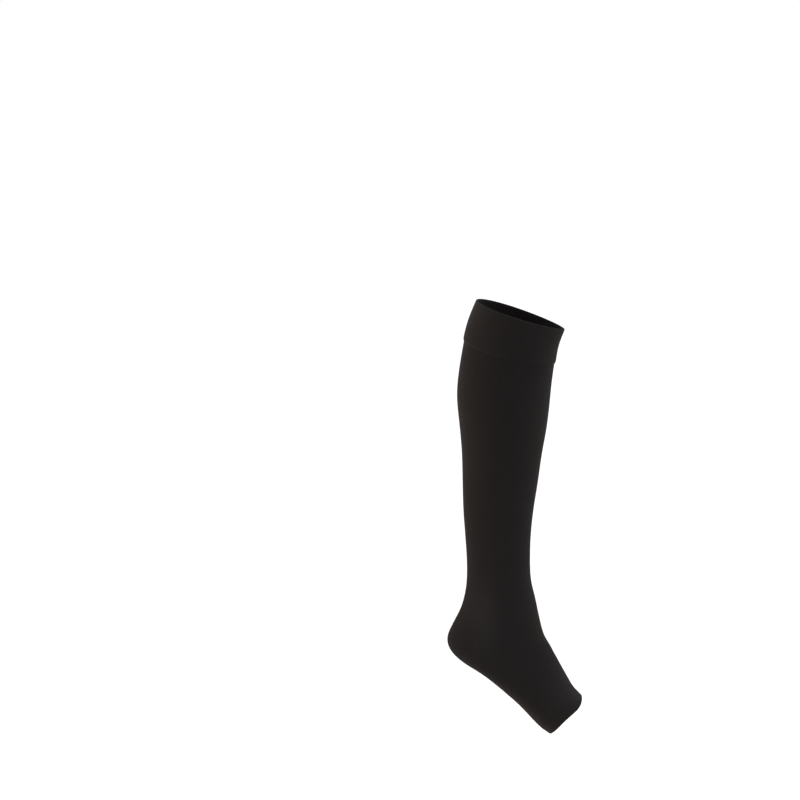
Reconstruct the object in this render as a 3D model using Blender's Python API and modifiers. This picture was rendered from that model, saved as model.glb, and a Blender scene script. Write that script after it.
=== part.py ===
"""Open-toe, knee-high compression stocking, in the hollow form of a right leg on tiptoe.

Metres, +Z up, +X towards the toes, +Y towards the inner side of the leg. The origin is the
middle of the top band, where the leg holds the stocking up.
"""

import math
from collections import namedtuple

import bmesh
import bpy
from mathutils import Vector

MM = 0.001

# The cloth: one layer of fine knit, and a top band that is turned in and two layers thick. The
# gap at the band's seam is taken halfway round, and is 0.3 mm where it is narrowest.
KNIT_WALL = 1.2 * MM
BAND_STEP = 1.4 * MM
SEAM_GAP = 0.38 * MM

POINTS_ROUND = 44
BAND_ROWS = 5
LEG_ROWS = 22
FOOT_ROWS = 22

# The leg's side view, from the top edge to the toe opening, in millimetres. A section runs from
# its front, on the shin or the top of the foot, to its back, on the calf, heel or sole, and
# girth is the length round the outside of the knit there.
Profile = namedtuple("Profile", "name front_x front_z back_x back_z girth")
PROFILE = (
    Profile("top edge", 58, 9.5, -43.5, 42, 330),
    Profile("band middle", 51, -10, -53, 18, 335),
    Profile("band seam", 47.5, -33, -59, -7, 340),
    Profile("upper calf", 44.5, -59, -65.5, -50, 343),
    Profile("calf", 42.5, -84, -66.5, -76, 340),
    Profile("lower calf", 39.5, -110, -63.5, -105, 321),
    Profile("calf end", 34, -142, -60.5, -138, 291),
    Profile("shin", 29.5, -176, -59.5, -173, 265),
    Profile("low shin", 24.5, -209, -58.5, -208, 241),
    Profile("above ankle", 21.5, -241, -56, -241, 223),
    Profile("ankle", 21, -271, -54, -273, 215),
    Profile("ankle bones", 22.3, -293, -54.8, -300, 224),
    Profile("over heel", 27.5, -314, -60.6, -325, 249),
    Profile("heel top", 31.5, -333, -71.2, -346, 276),
    Profile("heel", 35, -348, -78.2, -362, 293),
    Profile("heel turn", 37.5, -357, -76, -374.5, 294),
    Profile("heel base", 40.5, -364, -67.5, -384.5, 285),
    Profile("heel front", 45.4, -371.5, -55, -394, 269),
    Profile("arch", 49.5, -379.5, -39.5, -403, 250),
    Profile("instep", 55, -389.5, -23.5, -415, 236),
    Profile("foot waist", 61.5, -401.5, -6.5, -429.5, 227),
    Profile("behind ball", 68, -413, 10, -444.5, 225),
    Profile("ball", 74, -423.5, 25.5, -461.6, 229),
    Profile("toe roots", 79.2, -429, 34.8, -471, 229),
    Profile("toe edge", 84.5, -434.5, 45.2, -477.8, 228),
)

# How a section is rounded, at some of the profile's rows. middle, ridge and keel say how far its
# middle, its front and its back lie towards the inner leg. belly is where it is widest, from 0 at
# the back to 1 at the front. full_front and full_back are 2 on an ellipse and more where it is
# squarer. slant is how far its inner side lies ahead of its outer side, on the way to the toes.
Rounding = namedtuple("Rounding", "name middle ridge keel belly full_front full_back slant")
ROUNDING = (
    Rounding("top edge", -2, -8, 0, 0.42, 1.75, 2.1, -7),
    Rounding("band seam", 2, -4, 0, 0.46, 1.9, 2.1, -10),
    Rounding("calf", 5, 0, 3, 0.44, 1.9, 2.1, -6),
    Rounding("shin", 9.5, 0, 1, 0.45, 2.0, 2.1, 0),
    Rounding("ankle", 12.5, 0, 0, 0.48, 2.1, 1.9, 0),
    Rounding("over heel", 13.5, 1, 0, 0.42, 2.1, 1.45, 0),
    Rounding("heel", 14, 2, 0, 0.44, 2.0, 1.75, 0),
    Rounding("heel front", 13, 5, -2, 0.42, 2.0, 2.4, 0),
    Rounding("instep", 11, 6, -3, 0.38, 1.9, 2.4, 0),
    Rounding("behind ball", 11, 6, 0, 0.36, 1.9, 2.6, 2),
    Rounding("toe edge", 11, 5, 0, 0.48, 2.2, 2.7, 7),
)

BLACK_KNIT = (0.012, 0.0105, 0.010, 1)
KNIT_ROUGHNESS = 0.7
BAND_ROUGHNESS = 0.75

# The half widths that a section can have, and how closely its girth is met.
NARROWEST, WIDEST, GIRTH_STEP = 10 * MM, 100 * MM, 0.01 * MM


def read_row(places, rows, place):
    """The columns of a table at a place: smooth curves that pass through all its rows."""
    last = len(rows) - 1
    row = 0
    while row < last - 1 and place > places[row + 1]:
        row += 1
    span = places[row + 1] - places[row]
    t = (place - places[row]) / span

    def slope(at, column):
        low, high = max(at - 1, 0), min(at + 1, last)
        return (rows[high][column] - rows[low][column]) / (places[high] - places[low])

    return [
        start * (2 * t**3 - 3 * t**2 + 1)
        + slope(row, column) * span * (t**3 - 2 * t**2 + t)
        + rows[row + 1][column] * (3 * t**2 - 2 * t**3)
        + slope(row + 1, column) * span * (t**3 - t**2)
        for column, start in enumerate(rows[row])
    ]


def part_turn(turn, fullness):
    """(forwards, across) of a point on a rounded section, as a cosine and a sine on a circle."""
    return [
        math.copysign(abs(value) ** (2 / fullness), value)
        for value in (math.cos(turn), math.sin(turn))
    ]


def section_ring(front_x, front_z, back_x, back_z, half_width, rounding):
    """A closed ring of points in metres, from the front round the inner side."""
    front = Vector((front_x, 0, front_z)) * MM
    back = Vector((back_x, 0, back_z)) * MM
    forwards = (front - back).normalized()
    inwards = Vector((0, 1, 0))
    onwards = inwards.cross(forwards)
    middle, ridge, keel, belly, full_front, full_back, slant = rounding
    behind = (front - back).length * belly
    ahead = (front - back).length - behind
    centre = back + forwards * behind + inwards * middle * MM
    points = []
    for step in range(POINTS_ROUND):
        turn = 2 * math.pi * step / POINTS_ROUND
        if math.cos(turn) >= 0:
            reach, fullness, lean = ahead, full_front, ridge * MM
        else:
            reach, fullness, lean = behind, full_back, keel * MM
        along, across = part_turn(turn, fullness)
        points.append(
            centre
            + forwards * reach * along
            + inwards * (half_width * across + lean * along**2)
            + onwards * slant * MM * across / 2
        )
    return points


def girth_of(ring):
    return sum((a - b).length for a, b in zip(ring, ring[1:] + ring[:1]))


def half_width_for(profile, rounding):
    """Half the width that gives a section its girth, found by halving."""
    low, high = NARROWEST, WIDEST
    while high - low > GIRTH_STEP:
        middle = (low + high) / 2
        ring = section_ring(*profile[1:5], middle, rounding)
        if girth_of(ring) < profile.girth * MM:
            low = middle
        else:
            high = middle
    return low


class Form:
    """The leg's form: rings at any place along it, measured in metres from the top edge."""

    def __init__(self):
        self.places = [0.0]
        for a, b in zip(PROFILE, PROFILE[1:]):
            front = math.hypot(b.front_x - a.front_x, b.front_z - a.front_z)
            back = math.hypot(b.back_x - a.back_x, b.back_z - a.back_z)
            self.places.append(self.places[-1] + (front + back) / 2 * MM)
        self.place_of = {row.name: place for row, place in zip(PROFILE, self.places)}
        self.rounded_at = [self.place_of[row.name] for row in ROUNDING]
        self.sides = [
            [*row[1:5], half_width_for(row, self.rounding(place))]
            for row, place in zip(PROFILE, self.places)
        ]

    def rounding(self, place):
        return read_row(self.rounded_at, [row[1:] for row in ROUNDING], place)

    def ring(self, place):
        side = read_row(self.places, self.sides, place)
        return section_ring(*side, self.rounding(place))


def places_between(start, end, rows):
    """Evenly spaced places from start to end, both included."""
    return [start + (end - start) * row / rows for row in range(rows + 1)]


def cloth(name, rings, step, material, collection):
    """A tube of cloth, open at both ends: a layer inside the rings, and step outside them."""
    mesh = bpy.data.meshes.new(name)
    bm = bmesh.new()
    loops = [[bm.verts.new(point) for point in ring] for ring in rings]
    for upper, lower in zip(loops, loops[1:]):
        for i in range(POINTS_ROUND):
            j = (i + 1) % POINTS_ROUND
            bm.faces.new((upper[i], upper[j], lower[j], lower[i]))
    bmesh.ops.recalc_face_normals(bm, faces=bm.faces)
    bm.to_mesh(mesh)
    bm.free()
    mesh.shade_smooth()
    mesh.materials.append(material)
    tube = bpy.data.objects.new(name, mesh)
    collection.objects.link(tube)
    wall = tube.modifiers.new("wall", "SOLIDIFY")
    wall.thickness = step + KNIT_WALL
    wall.offset = (step - KNIT_WALL) / (step + KNIT_WALL)
    return tube


def black_knit(name, roughness):
    material = bpy.data.materials.new(name)
    material.use_nodes = True
    shader = material.node_tree.nodes["Principled BSDF"]
    shader.inputs["Base Color"].default_value = BLACK_KNIT
    shader.inputs["Roughness"].default_value = roughness
    shader.inputs["Metallic"].default_value = 0
    return material


def top_band(form, collection):
    """The turned-in band, which stands a little proud of the leg."""
    places = places_between(0, form.place_of["band seam"] - SEAM_GAP / 2, BAND_ROWS)
    rings = [form.ring(place) for place in places]
    material = black_knit("band_knit", BAND_ROUGHNESS)
    return cloth("top_band", rings, BAND_STEP, material, collection)


def knit_tube(form, collection):
    """The leg and foot, from under the band to the toe opening."""
    seam, ankle = form.place_of["band seam"], form.place_of["ankle"]
    leg = places_between(seam + SEAM_GAP / 2, ankle, LEG_ROWS)
    foot = places_between(ankle, form.place_of["toe edge"], FOOT_ROWS)
    rings = [form.ring(place) for place in leg + foot[1:]]
    material = black_knit("leg_knit", KNIT_ROUGHNESS)
    return cloth("knit_tube", rings, 0, material, collection)


def build():
    for old in list(bpy.data.objects):
        bpy.data.objects.remove(old)
    collection = bpy.data.collections.new("compression_stocking")
    bpy.context.scene.collection.children.link(collection)
    form = Form()
    top_band(form, collection)
    knit_tube(form, collection)


build()
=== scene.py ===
"""An open-toe, knee-high compression stocking in black knit, in the hollow form of a right leg.

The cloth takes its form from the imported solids. Each wall is read back as a grid of squares and
made a thin sheet again: the leg and foot as one tube, and the top band as a tube that is turned
in over itself. Lengths are in metres, +Z up, +X towards the toes, +Y towards the inner leg.
"""

import math
from collections import namedtuple

import bmesh
import bpy
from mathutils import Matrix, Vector


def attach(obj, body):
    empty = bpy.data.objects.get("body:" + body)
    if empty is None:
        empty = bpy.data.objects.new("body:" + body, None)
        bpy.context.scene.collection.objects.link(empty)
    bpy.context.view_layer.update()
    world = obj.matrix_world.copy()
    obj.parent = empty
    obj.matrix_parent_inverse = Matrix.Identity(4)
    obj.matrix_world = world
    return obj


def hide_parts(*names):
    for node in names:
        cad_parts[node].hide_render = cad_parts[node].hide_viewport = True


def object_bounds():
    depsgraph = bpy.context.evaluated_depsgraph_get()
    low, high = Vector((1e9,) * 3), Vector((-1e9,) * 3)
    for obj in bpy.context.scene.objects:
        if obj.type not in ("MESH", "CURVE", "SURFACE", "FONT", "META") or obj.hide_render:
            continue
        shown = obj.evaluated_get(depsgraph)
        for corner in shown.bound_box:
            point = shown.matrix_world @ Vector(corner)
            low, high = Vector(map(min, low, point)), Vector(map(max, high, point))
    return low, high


MM = 0.001

# The camera: where it stands round the object, in degrees, how far off, and the scale of the
# picture at the object. The frame's origin falls on ORIGIN_PX.
CAMERA_TURN = -3
CAMERA_RISE = 6
CAMERA_DISTANCE = 4.0
CAMERA_SEES = 100
PICTURE_PX = 800
METRES_PER_PX = 1.18 * MM
ORIGIN_PX = (514, 336)
SENSOR_MM = 36

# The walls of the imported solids, and how far the band stands proud of the leg. Points that are
# nearer than WELD are one. An edge of a wall's grid crosses the wall if it is no longer than the
# wall is thick, with a small allowance.
LEG_WALL = 1.2 * MM
BAND_WALL = 2.6 * MM
BAND_STEP = 1.4 * MM
WELD = 0.01 * MM
ALLOWANCE = 1.1

# Two triangles are halves of one square if they bend by less than this where they meet. A square
# may have any corners, and one whose edges line up with its neighbours' is chosen first.
SQUARE_BEND = math.radians(60)
ANY_CORNERS = math.radians(180)
LINED_UP = 1.3

# The cloth: one layer of knit, how far its face stands outside the solid's, which smoothing would
# else make narrower, how far the leg's upper edge is sewn up into the band, how round the band's
# fold and its turned-under edge are, and how long the slope is with which that edge comes down.
# A narrow strip of squares along an open edge keeps the edge where it is when it is smoothed.
KNIT_THICKNESS = 0.8 * MM
KNIT_PROUD = 0.3 * MM
SEWN_IN = 3 * MM
FOLD_ROUNDING = 1.1 * MM
HEM_ROUNDING = 1.1 * MM
HEM_SLOPE = 3.5 * MM
EDGE_STRIP = 1.5 * MM
SMOOTHING = 2

# The toe opening's edge is drawn forward over the outer toes: how far, and where and over how
# much of the way round, which goes from the top of the foot by its inner side and its sole.
DRAWN = 3.2 * MM
DRAWN_AT = 0.86
DRAWN_REACH = 0.14

# The knit: how many wales run round the tube, how far apart its courses lie when it is worn, and
# how high its loops stand. A loop leans by LOOP_LEAN courses to a wale, and its sides are
# SIDE_HEIGHT as high as its middle. The elastic laid in at every other course is INLAY as high.
WALES = 360
COURSE = 0.55 * MM
LOOP_HEIGHT = 0.15 * MM
LOOP_LEAN = 1.6
SIDE_HEIGHT = 0.6
INLAY = 0.12

# How uneven the knit is: streaks of thicker yarn, as many round the tube and in a metre along it,
# and places of tighter and looser knit, as many in a metre.
STREAKS_ROUND = 70
STREAKS_ALONG = 9
TENSION_SPOTS = 22

# The flat cut, before it is stretched onto a leg.
GIRTH_STRETCH = 1.35

# Painted light: the knit's colour is made lighter where the lamps fall on it, as a painted
# highlight on the pocket of the heel, another over the ball of the foot, and all round, more and
# more from the calf to above the ankle, and as much below. That painted light begins at the first
# of the pair of lengths below and is whole at the second, which are lengths along the cloth, from
# the upper edge of the leg's tube.
HEEL_HIGHLIGHT_MIDDLE = (-35 * MM, 14 * MM, -338 * MM)
HEEL_HIGHLIGHT_REACH = (30 * MM, 150 * MM, 62 * MM)
HEEL_PAINTED_LIGHT = 0.65
BALL_HIGHLIGHT_MIDDLE = (66 * MM, 8 * MM, -434 * MM)
BALL_HIGHLIGHT_REACH = (48 * MM, 150 * MM, 60 * MM)
BALL_PAINTED_LIGHT = 0.4
PAINTED_LIGHT_FROM, PAINTED_LIGHT_AT = 60 * MM, 220 * MM
LOWER_LEG_PAINTED_LIGHT = 0.2

# The yarn's black dye, with painted shade that makes it darker in the hollows between the loops
# than on their tops, and its dull, slightly fuzzy face. The band is knitted a little fuzzier than
# the leg.
BLACK = (0.0033, 0.0028, 0.0031, 1)
LIGHT_BLACK = (0.0083, 0.0071, 0.0079, 1)
MATT = 0.75
MATT_CHANGE = 0.12
YARN_SHINE = 0.04
LEG_FUZZ = 0.02
BAND_FUZZ = 0.025
FUZZ_SOFTNESS = 0.6
FUZZ_TINT = (1, 0.86, 0.78, 1)

# The lights shine towards the middle of the stocking. The sun's power is in watts to a square
# metre, and the others' in watts.
Lamp = namedtuple("Lamp", "name kind place power")
LAMPS = (
    Lamp("left soft box", "AREA", (-2.9, -0.9, -0.3), 106),
    Lamp("right soft box", "AREA", (3.1, -0.3, -0.3), 16),
    Lamp("light above", "SUN", (1.6, -0.9, 2.0), 1.5),
)
WARM_WHITE = (1, 0.88, 0.62)
SOFT_BOX_SIZE = 1.8
LIGHT_ABOVE_SPREAD = math.radians(60)
WHITE = (1, 1, 1, 1)

# The floor lies clear of the stocking, which a leg would hold up.
FLOOR_GAP = 110 * MM
FLOOR_SIZE = 60
FLOOR_MATT = 0.9
PALE = (0.8, 0.8, 0.8, 1)


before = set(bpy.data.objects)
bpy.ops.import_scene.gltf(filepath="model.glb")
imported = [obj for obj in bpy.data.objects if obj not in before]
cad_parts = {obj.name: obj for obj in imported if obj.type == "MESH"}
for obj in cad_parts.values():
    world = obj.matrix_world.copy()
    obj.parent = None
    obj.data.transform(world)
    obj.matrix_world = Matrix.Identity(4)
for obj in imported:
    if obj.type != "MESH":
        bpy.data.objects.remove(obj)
cad_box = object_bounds()


class Wire:
    """A value on its way through a material. Arithmetic with it adds the Math nodes it needs."""

    def __init__(self, finish, socket):
        self.finish = finish
        self.socket = socket

    def maths(self, operation, *values):
        sockets = dict(enumerate(values))
        return self.finish.node("ShaderNodeMath", {"operation": operation}, sockets)

    def __add__(self, other):
        return self.maths("ADD", self, other)

    def __sub__(self, other):
        return self.maths("SUBTRACT", self, other)

    def __rsub__(self, other):
        return self.maths("SUBTRACT", other, self)

    def __mul__(self, other):
        return self.maths("MULTIPLY", self, other)

    def __truediv__(self, other):
        return self.maths("DIVIDE", self, other)

    def __abs__(self):
        return self.maths("ABSOLUTE", self)

    __radd__ = __add__
    __rmul__ = __mul__

    def fraction(self):
        return self.maths("FRACT", self)

    def sine(self):
        return self.maths("SINE", self)


class Finish:
    """A material that is built node by node."""

    def __init__(self, name):
        self.material = bpy.data.materials.new(name)
        self.material.use_nodes = True
        self.tree = self.material.node_tree
        self.shader = self.tree.nodes["Principled BSDF"]

    def node(self, kind, settings, inputs, output=0):
        """Adds a node, with its settings first and then its sockets' values or wires."""
        node = self.tree.nodes.new(kind)
        for name, value in settings.items():
            setattr(node, name, value)
        self.feed(node, inputs)
        return Wire(self, node.outputs[output])

    def feed(self, node, inputs):
        for name, value in inputs.items():
            if isinstance(value, Wire):
                self.tree.links.new(value.socket, node.inputs[name])
            else:
                node.inputs[name].default_value = value

    def blend(self, share, first, second):
        """A colour between two others. A Mix node's colours are its inputs 6 and 7 and output 2."""
        sockets = {0: share, 6: first, 7: second}
        return self.node("ShaderNodeMix", {"data_type": "RGBA"}, sockets, 2)

    def noise(self, place, scale, detail):
        sockets = {"Vector": place, "Scale": scale, "Detail": detail}
        return self.node("ShaderNodeTexNoise", {}, sockets)

    def rise(self, value, start, end, height):
        """Goes softly up from 0 to height as the value goes from start to end."""
        ends = {"Value": value, "From Min": start, "From Max": end, "To Max": height}
        return self.node("ShaderNodeMapRange", {"interpolation_type": "SMOOTHSTEP"}, ends)

    def patch(self, place, middle, reach, height):
        """Goes softly up from 0 at the rim of a rounded patch to height at its middle."""
        off = self.node("ShaderNodeVectorMath", {"operation": "SUBTRACT"}, {0: place, 1: middle})
        off = self.node("ShaderNodeVectorMath", {"operation": "DIVIDE"}, {0: off, 1: reach})
        off = self.node("ShaderNodeVectorMath", {"operation": "LENGTH"}, {0: off}, "Value")
        return self.rise(1 - off, 0, 1, height)


def black_knit(name, fuzz):
    """Fine plain knit: rows of small loops, in yarn that is a little uneven."""
    finish = Finish(name)
    place = finish.node("ShaderNodeUVMap", {"uv_map": "cloth"}, {})
    turn = finish.node("ShaderNodeSeparateXYZ", {}, {0: place}, "X")
    along = finish.node("ShaderNodeSeparateXYZ", {}, {0: place}, "Y")

    aside = abs((turn * WALES).fraction() - 0.5)
    course = along / COURSE
    loop = (course + aside * LOOP_LEAN).fraction()
    falls = 4 * (1 - SIDE_HEIGHT)
    stitch = (loop * math.pi).sine() * (1 - falls * aside * aside)
    inlay = (course * math.pi).sine() * INLAY

    streaks = {0: turn * STREAKS_ROUND, 1: along * STREAKS_ALONG}
    streaks = finish.node("ShaderNodeCombineXYZ", {}, streaks)
    cloth = finish.node("ShaderNodeTexCoord", {}, {}, "Object")
    yarn = finish.noise(streaks, scale=1, detail=2)
    tension = finish.noise(cloth, scale=TENSION_SPOTS, detail=3)
    uneven = (yarn + tension) * 0.5

    # Painted light: a painted highlight on the pocket of the heel, where the lamps fall.
    heel = finish.patch(cloth, HEEL_HIGHLIGHT_MIDDLE, HEEL_HIGHLIGHT_REACH, HEEL_PAINTED_LIGHT)
    # Painted light: a painted highlight over the ball of the foot.
    ball = finish.patch(cloth, BALL_HIGHLIGHT_MIDDLE, BALL_HIGHLIGHT_REACH, BALL_PAINTED_LIGHT)
    # Painted light: the colour grows lighter from the calf down to above the ankle, and stays so
    # below.
    ankle = finish.rise(along, PAINTED_LIGHT_FROM, PAINTED_LIGHT_AT, LOWER_LEG_PAINTED_LIGHT)
    painted_light = 1 + heel + ball + ankle
    # Painted shade: darker in the hollows between the loops, where shade falls, and lighter on
    # their tops, mixed with the yarn's own uneven tone.
    yarn_tone_and_hollow_shade = finish.blend((stitch + uneven) * 0.5, BLACK, LIGHT_BLACK)

    finish.feed(finish.shader, {
        "Base Color": finish.node(
            "ShaderNodeVectorMath", {"operation": "SCALE"}, {0: yarn_tone_and_hollow_shade, "Scale": painted_light}
        ),
        "Roughness": MATT + MATT_CHANGE * (uneven - 0.5),
        "Specular IOR Level": YARN_SHINE,
        "Sheen Weight": fuzz,
        "Sheen Roughness": FUZZ_SOFTNESS,
        "Sheen Tint": FUZZ_TINT,
        "Normal": finish.node(
            "ShaderNodeBump", {}, {"Height": stitch + inlay, "Strength": 1, "Distance": LOOP_HEIGHT}
        ),
    })
    return finish.material


def plain(name, colour, roughness):
    finish = Finish(name)
    finish.feed(finish.shader, {"Base Color": colour, "Roughness": roughness})
    return finish.material


def wall_of(node):
    """The closed wall of a CAD node, as a grid of squares, with none of its points selected."""
    wall = bmesh.new()
    wall.from_mesh(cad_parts[node].data)
    bmesh.ops.remove_doubles(wall, verts=wall.verts, dist=WELD)
    bmesh.ops.join_triangles(
        wall,
        faces=wall.faces,
        angle_face_threshold=SQUARE_BEND,
        angle_shape_threshold=ANY_CORNERS,
        topology_influence=LINED_UP,
    )
    for point in wall.verts:
        point.select = False
    return wall


def wall_edges(wall, thickness):
    """The edges that cross the wall: those of its upper rim, and those of its lower rim."""
    crossing = [edge for edge in wall.edges if edge.calc_length() < ALLOWANCE * thickness]
    middle = sum(edge.verts[0].co.z for edge in crossing) / len(crossing)
    upper = [edge for edge in crossing if edge.verts[0].co.z > middle]
    lower = [edge for edge in crossing if edge.verts[0].co.z < middle]
    return upper, lower


def each_once(things):
    """The things in the order in which they come, with no thing twice."""
    return list(dict.fromkeys(things))


def faces_of(edges):
    return each_once(face for edge in edges for face in edge.link_faces)


def rim_loop(edges, outer):
    """The edges that run round a rim, along its outer side or along its inner side."""
    middle = sum((edge.verts[0].co for edge in edges), Vector()) / len(edges)
    choose = max if outer else min
    points = [choose(edge.verts, key=lambda point: (point.co - middle).length) for edge in edges]
    return each_once(
        edge for point in points for edge in point.link_edges if edge.other_vert(point) in points
    )


def points_of(edges):
    return each_once(point for edge in edges for point in edge.verts)


def joined_to(point):
    """The point and every other one that the cloth joins it to."""
    found = {point}
    todo = [point]
    while todo:
        here = todo.pop()
        onward = {edge.other_vert(here) for edge in here.link_edges} - found
        found |= onward
        todo += onward
    return found


def open_loops(sheet):
    """The edges round each open end of a tube."""
    left = [edge for edge in sheet.edges if edge.is_boundary]
    loops = []
    while left:
        loop = [left.pop()]
        point = loop[0].verts[1]
        onward = [edge for edge in point.link_edges if edge in left]
        while onward:
            left.remove(onward[0])
            loop.append(onward[0])
            point = onward[0].other_vert(point)
            onward = [edge for edge in point.link_edges if edge in left]
        loops.append(loop)
    return loops


def height(loop):
    return sum(edge.verts[0].co.z for edge in loop) / len(loop)


def girth(loop):
    return sum(edge.calc_length() for edge in loop)


def points_round(loop):
    """A loop's points in order, from the foremost one round by the inner side of the leg."""
    points = []
    for edge, onward in zip(loop, loop[1:] + loop[:1]):
        points.append(next(point for point in edge.verts if point in onward.verts))
    first = max(range(len(points)), key=lambda i: points[i].co.x)
    points = points[first:] + points[:first]
    if points[1].co.y < points[-1].co.y:
        points = points[:1] + points[:0:-1]
    return points


def rings_from(loop):
    """The sheet's rings of points from one open end to the other, all in the order of the first."""
    rings = [points_round(loop)]
    seen = set(rings[0])
    while rings[-1]:
        ring = []
        for point in rings[-1]:
            beside = [edge.other_vert(point) for edge in point.link_edges]
            ring += [other for other in beside if other not in seen]
        seen.update(ring)
        rings.append(ring)
    return rings[:-1]


def draw_edge(rings):
    """Draws the last ring forward, with the one before it, in the way that the cloth runs there."""
    for i, (before, strip, edge) in enumerate(zip(*rings[-3:])):
        off = min(1, abs(i / len(rings[-1]) - DRAWN_AT) / DRAWN_REACH)
        onward = (strip.co - before.co).normalized() * DRAWN * (1 + math.cos(math.pi * off)) / 2
        strip.co += onward
        edge.co += onward


def mean_gap(ring, other):
    return sum((a.co - b.co).length for a, b in zip(ring, other)) / len(ring)


def lay_map(sheet, rings):
    """The cloth's own map: u goes once round the tube, and v is the length from its start."""
    place_of = {}
    along = 0.0
    for before, ring in zip(rings[:1] + rings, rings):
        along += mean_gap(before, ring)
        for turn, point in enumerate(ring):
            place_of[point] = (turn / len(ring), along)
    cloth_map = sheet.loops.layers.uv.new("cloth")
    for face in sheet.faces:
        turns = [place_of[corner.vert][0] for corner in face.loops]
        wraps = max(turns) - min(turns) > 0.5
        for corner in face.loops:
            turn, length = place_of[corner.vert]
            whole_turn = 1 if wraps and turn < 0.5 else 0
            corner[cloth_map].uv = (turn + whole_turn, length)


def flat_cut(rings):
    """The widest width, the length and the area of the cloth before a leg stretches it."""
    widths = [mean_gap(ring, ring[1:] + ring[:1]) * len(ring) / GIRTH_STRETCH for ring in rings]
    gaps = [mean_gap(ring, onward) for ring, onward in zip(rings, rings[1:])]
    area = sum(gap * (a + b) / 2 for gap, a, b in zip(gaps, widths, widths[1:]))
    return max(widths), sum(gaps), area


def finished(name, sheet, material):
    """The sheet as a shown piece: smooth, and as thick as the knit."""
    mesh = bpy.data.meshes.new(name)
    sheet.to_mesh(mesh)
    sheet.free()
    mesh.shade_smooth()
    mesh.materials.append(material)
    piece = bpy.data.objects.new(name, mesh)
    bpy.context.scene.collection.objects.link(piece)
    knit = piece.modifiers.new("knit", "SOLIDIFY")
    knit.thickness = KNIT_THICKNESS
    knit.offset = 2 * KNIT_PROUD / KNIT_THICKNESS - 1
    smooth = piece.modifiers.new("smooth", "SUBSURF")
    smooth.levels = smooth.render_levels = SMOOTHING
    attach(piece, "root")
    return piece


def leg_and_foot():
    """One tube of knit. Its upper edge is sewn in between the band's two layers."""
    # The outer side of the wall is the sheet. The rims and the inner side are taken away.
    sheet = wall_of("knit_tube")
    upper, lower = wall_edges(sheet, LEG_WALL)
    bmesh.ops.delete(sheet, geom=faces_of(upper + lower), context="FACES")
    outside = joined_to(max(sheet.verts, key=lambda point: point.co.x))
    inside = [point for point in sheet.verts if point not in outside]
    bmesh.ops.delete(sheet, geom=inside, context="VERTS")

    top = max(open_loops(sheet), key=height)
    sewn_in = bmesh.ops.extrude_edge_only(sheet, edges=top)["geom"]
    sewn_in = [part for part in sewn_in if isinstance(part, bmesh.types.BMVert)]
    bmesh.ops.translate(sheet, verts=sewn_in, vec=Vector((0, 0, SEWN_IN)))
    bmesh.ops.inset_region(
        sheet, faces=sheet.faces, thickness=EDGE_STRIP, use_boundary=True, use_even_offset=True
    )
    rings = rings_from(max(open_loops(sheet), key=height))
    draw_edge(rings)
    lay_map(sheet, rings)
    width, length, area = flat_cut(rings)
    piece = finished("leg_and_foot", sheet, black_knit("leg knit", LEG_FUZZ))
    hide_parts("knit_tube")


def turned_band():
    """The tube's top, turned in over itself, with its lower edge turned under and sewn down."""
    # The lower rim is cut in two where the leg's face meets it. Its inner part, which touches the
    # selected points, is taken away, so that the leg's tube can run up between the layers.
    sheet = wall_of("top_band")
    lower = wall_edges(sheet, BAND_WALL)[1]
    for point in points_of(rim_loop(lower, outer=False)):
        point.select = True
    share = {
        edge: (BAND_WALL - BAND_STEP if edge.verts[0].select else BAND_STEP) / BAND_WALL
        for edge in lower
    }
    bmesh.ops.subdivide_edges(sheet, edges=lower, cuts=1, edge_percents=share)
    lower = wall_edges(sheet, BAND_WALL)[1]
    open_part = [face for face in faces_of(lower) if any(point.select for point in face.verts)]
    bmesh.ops.delete(sheet, geom=open_part, context="FACES")

    upper, lower = wall_edges(sheet, BAND_WALL)
    fold = rim_loop(upper, outer=True) + rim_loop(upper, outer=False)
    hem = rim_loop(lower, outer=True)
    for point in points_of(hem):
        above = max((edge.other_vert(point) for edge in point.link_edges), key=lambda p: p.co.z)
        point.co += (above.co - point.co).normalized() * HEM_SLOPE
    for edges, rounding in ((fold, FOLD_ROUNDING), (hem, HEM_ROUNDING)):
        bmesh.ops.bevel(
            sheet,
            geom=edges,
            offset=rounding,
            segments=2,
            profile=0.5,
            affect="EDGES",
            material=-1,
        )
    rings = rings_from(max(open_loops(sheet), key=girth))
    lay_map(sheet, rings)
    width, length, area = flat_cut(rings)
    piece = finished("turned_band", sheet, black_knit("band knit", BAND_FUZZ))
    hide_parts("top_band")


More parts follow.
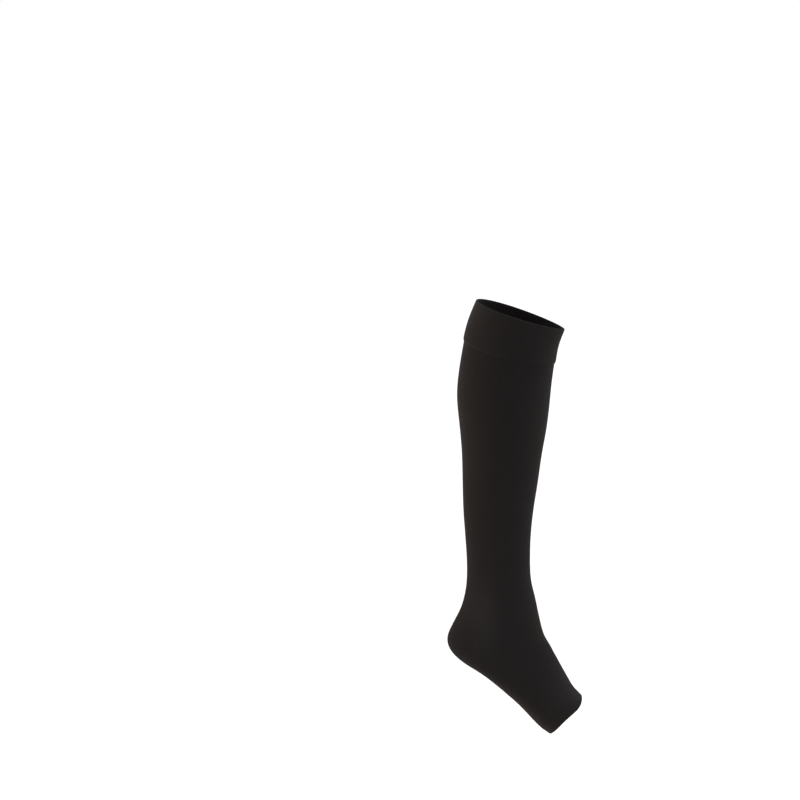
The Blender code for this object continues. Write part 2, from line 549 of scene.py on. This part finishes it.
def floor():
    """A wide pale floor, clear under the stocking."""
    sheet = bmesh.new()
    bmesh.ops.create_grid(sheet, size=FLOOR_SIZE / 2)
    mesh = bpy.data.meshes.new("floor")
    bmesh.ops.translate(sheet, verts=sheet.verts, vec=Vector((0, 0, cad_box[0].z - FLOOR_GAP)))
    sheet.to_mesh(mesh)
    sheet.free()
    mesh.materials.append(plain("pale floor", PALE, FLOOR_MATT))
    ground = bpy.data.objects.new("floor", mesh)
    bpy.context.scene.collection.objects.link(ground)


def light(lamp):
    """A lamp that faces the middle of the stocking."""
    data = bpy.data.lights.new(lamp.name, lamp.kind)
    data.energy = lamp.power
    if lamp.kind == "AREA":
        data.size = SOFT_BOX_SIZE
        data.color = WARM_WHITE
    else:
        data.angle = LIGHT_ABOVE_SPREAD
    shining = bpy.data.objects.new(lamp.name, data)
    shining.location = lamp.place
    middle = (cad_box[0] + cad_box[1]) / 2
    shining.rotation_euler = (shining.location - middle).to_track_quat("Z", "Y").to_euler()
    bpy.context.scene.collection.objects.link(shining)


def studio():
    """White surroundings, a soft box on the left, a weaker one on the right, and a light above."""
    world = bpy.data.worlds.new("studio")
    world.use_nodes = True
    world.node_tree.nodes["Background"].inputs["Color"].default_value = WHITE
    bpy.context.scene.world = world
    bpy.context.scene.view_settings.view_transform = "Standard"
    for lamp in LAMPS:
        light(lamp)
    floor()


def studio_camera():
    """The camera, placed so that the frame's origin falls on ORIGIN_PX."""
    turn, rise = math.radians(CAMERA_TURN), math.radians(CAMERA_RISE)
    back = Vector((
        math.sin(turn) * math.cos(rise),
        -math.cos(turn) * math.cos(rise),
        math.sin(rise),
    ))
    camera = bpy.data.objects.new("camera", bpy.data.cameras.new("camera"))
    camera.data.sensor_width = SENSOR_MM
    camera.data.lens = SENSOR_MM * CAMERA_DISTANCE / (PICTURE_PX * METRES_PER_PX)
    camera.data.clip_end = CAMERA_SEES
    camera.rotation_euler = back.to_track_quat("Z", "Y").to_euler()
    across = (ORIGIN_PX[0] - PICTURE_PX / 2) * METRES_PER_PX
    up = (PICTURE_PX / 2 - ORIGIN_PX[1]) * METRES_PER_PX
    aside = camera.rotation_euler.to_matrix() @ Vector((across, up, 0))
    camera.location = back * CAMERA_DISTANCE - aside
    bpy.context.scene.collection.objects.link(camera)
    bpy.context.scene.camera = camera


studio_camera()
studio()
leg_and_foot()
turned_band()
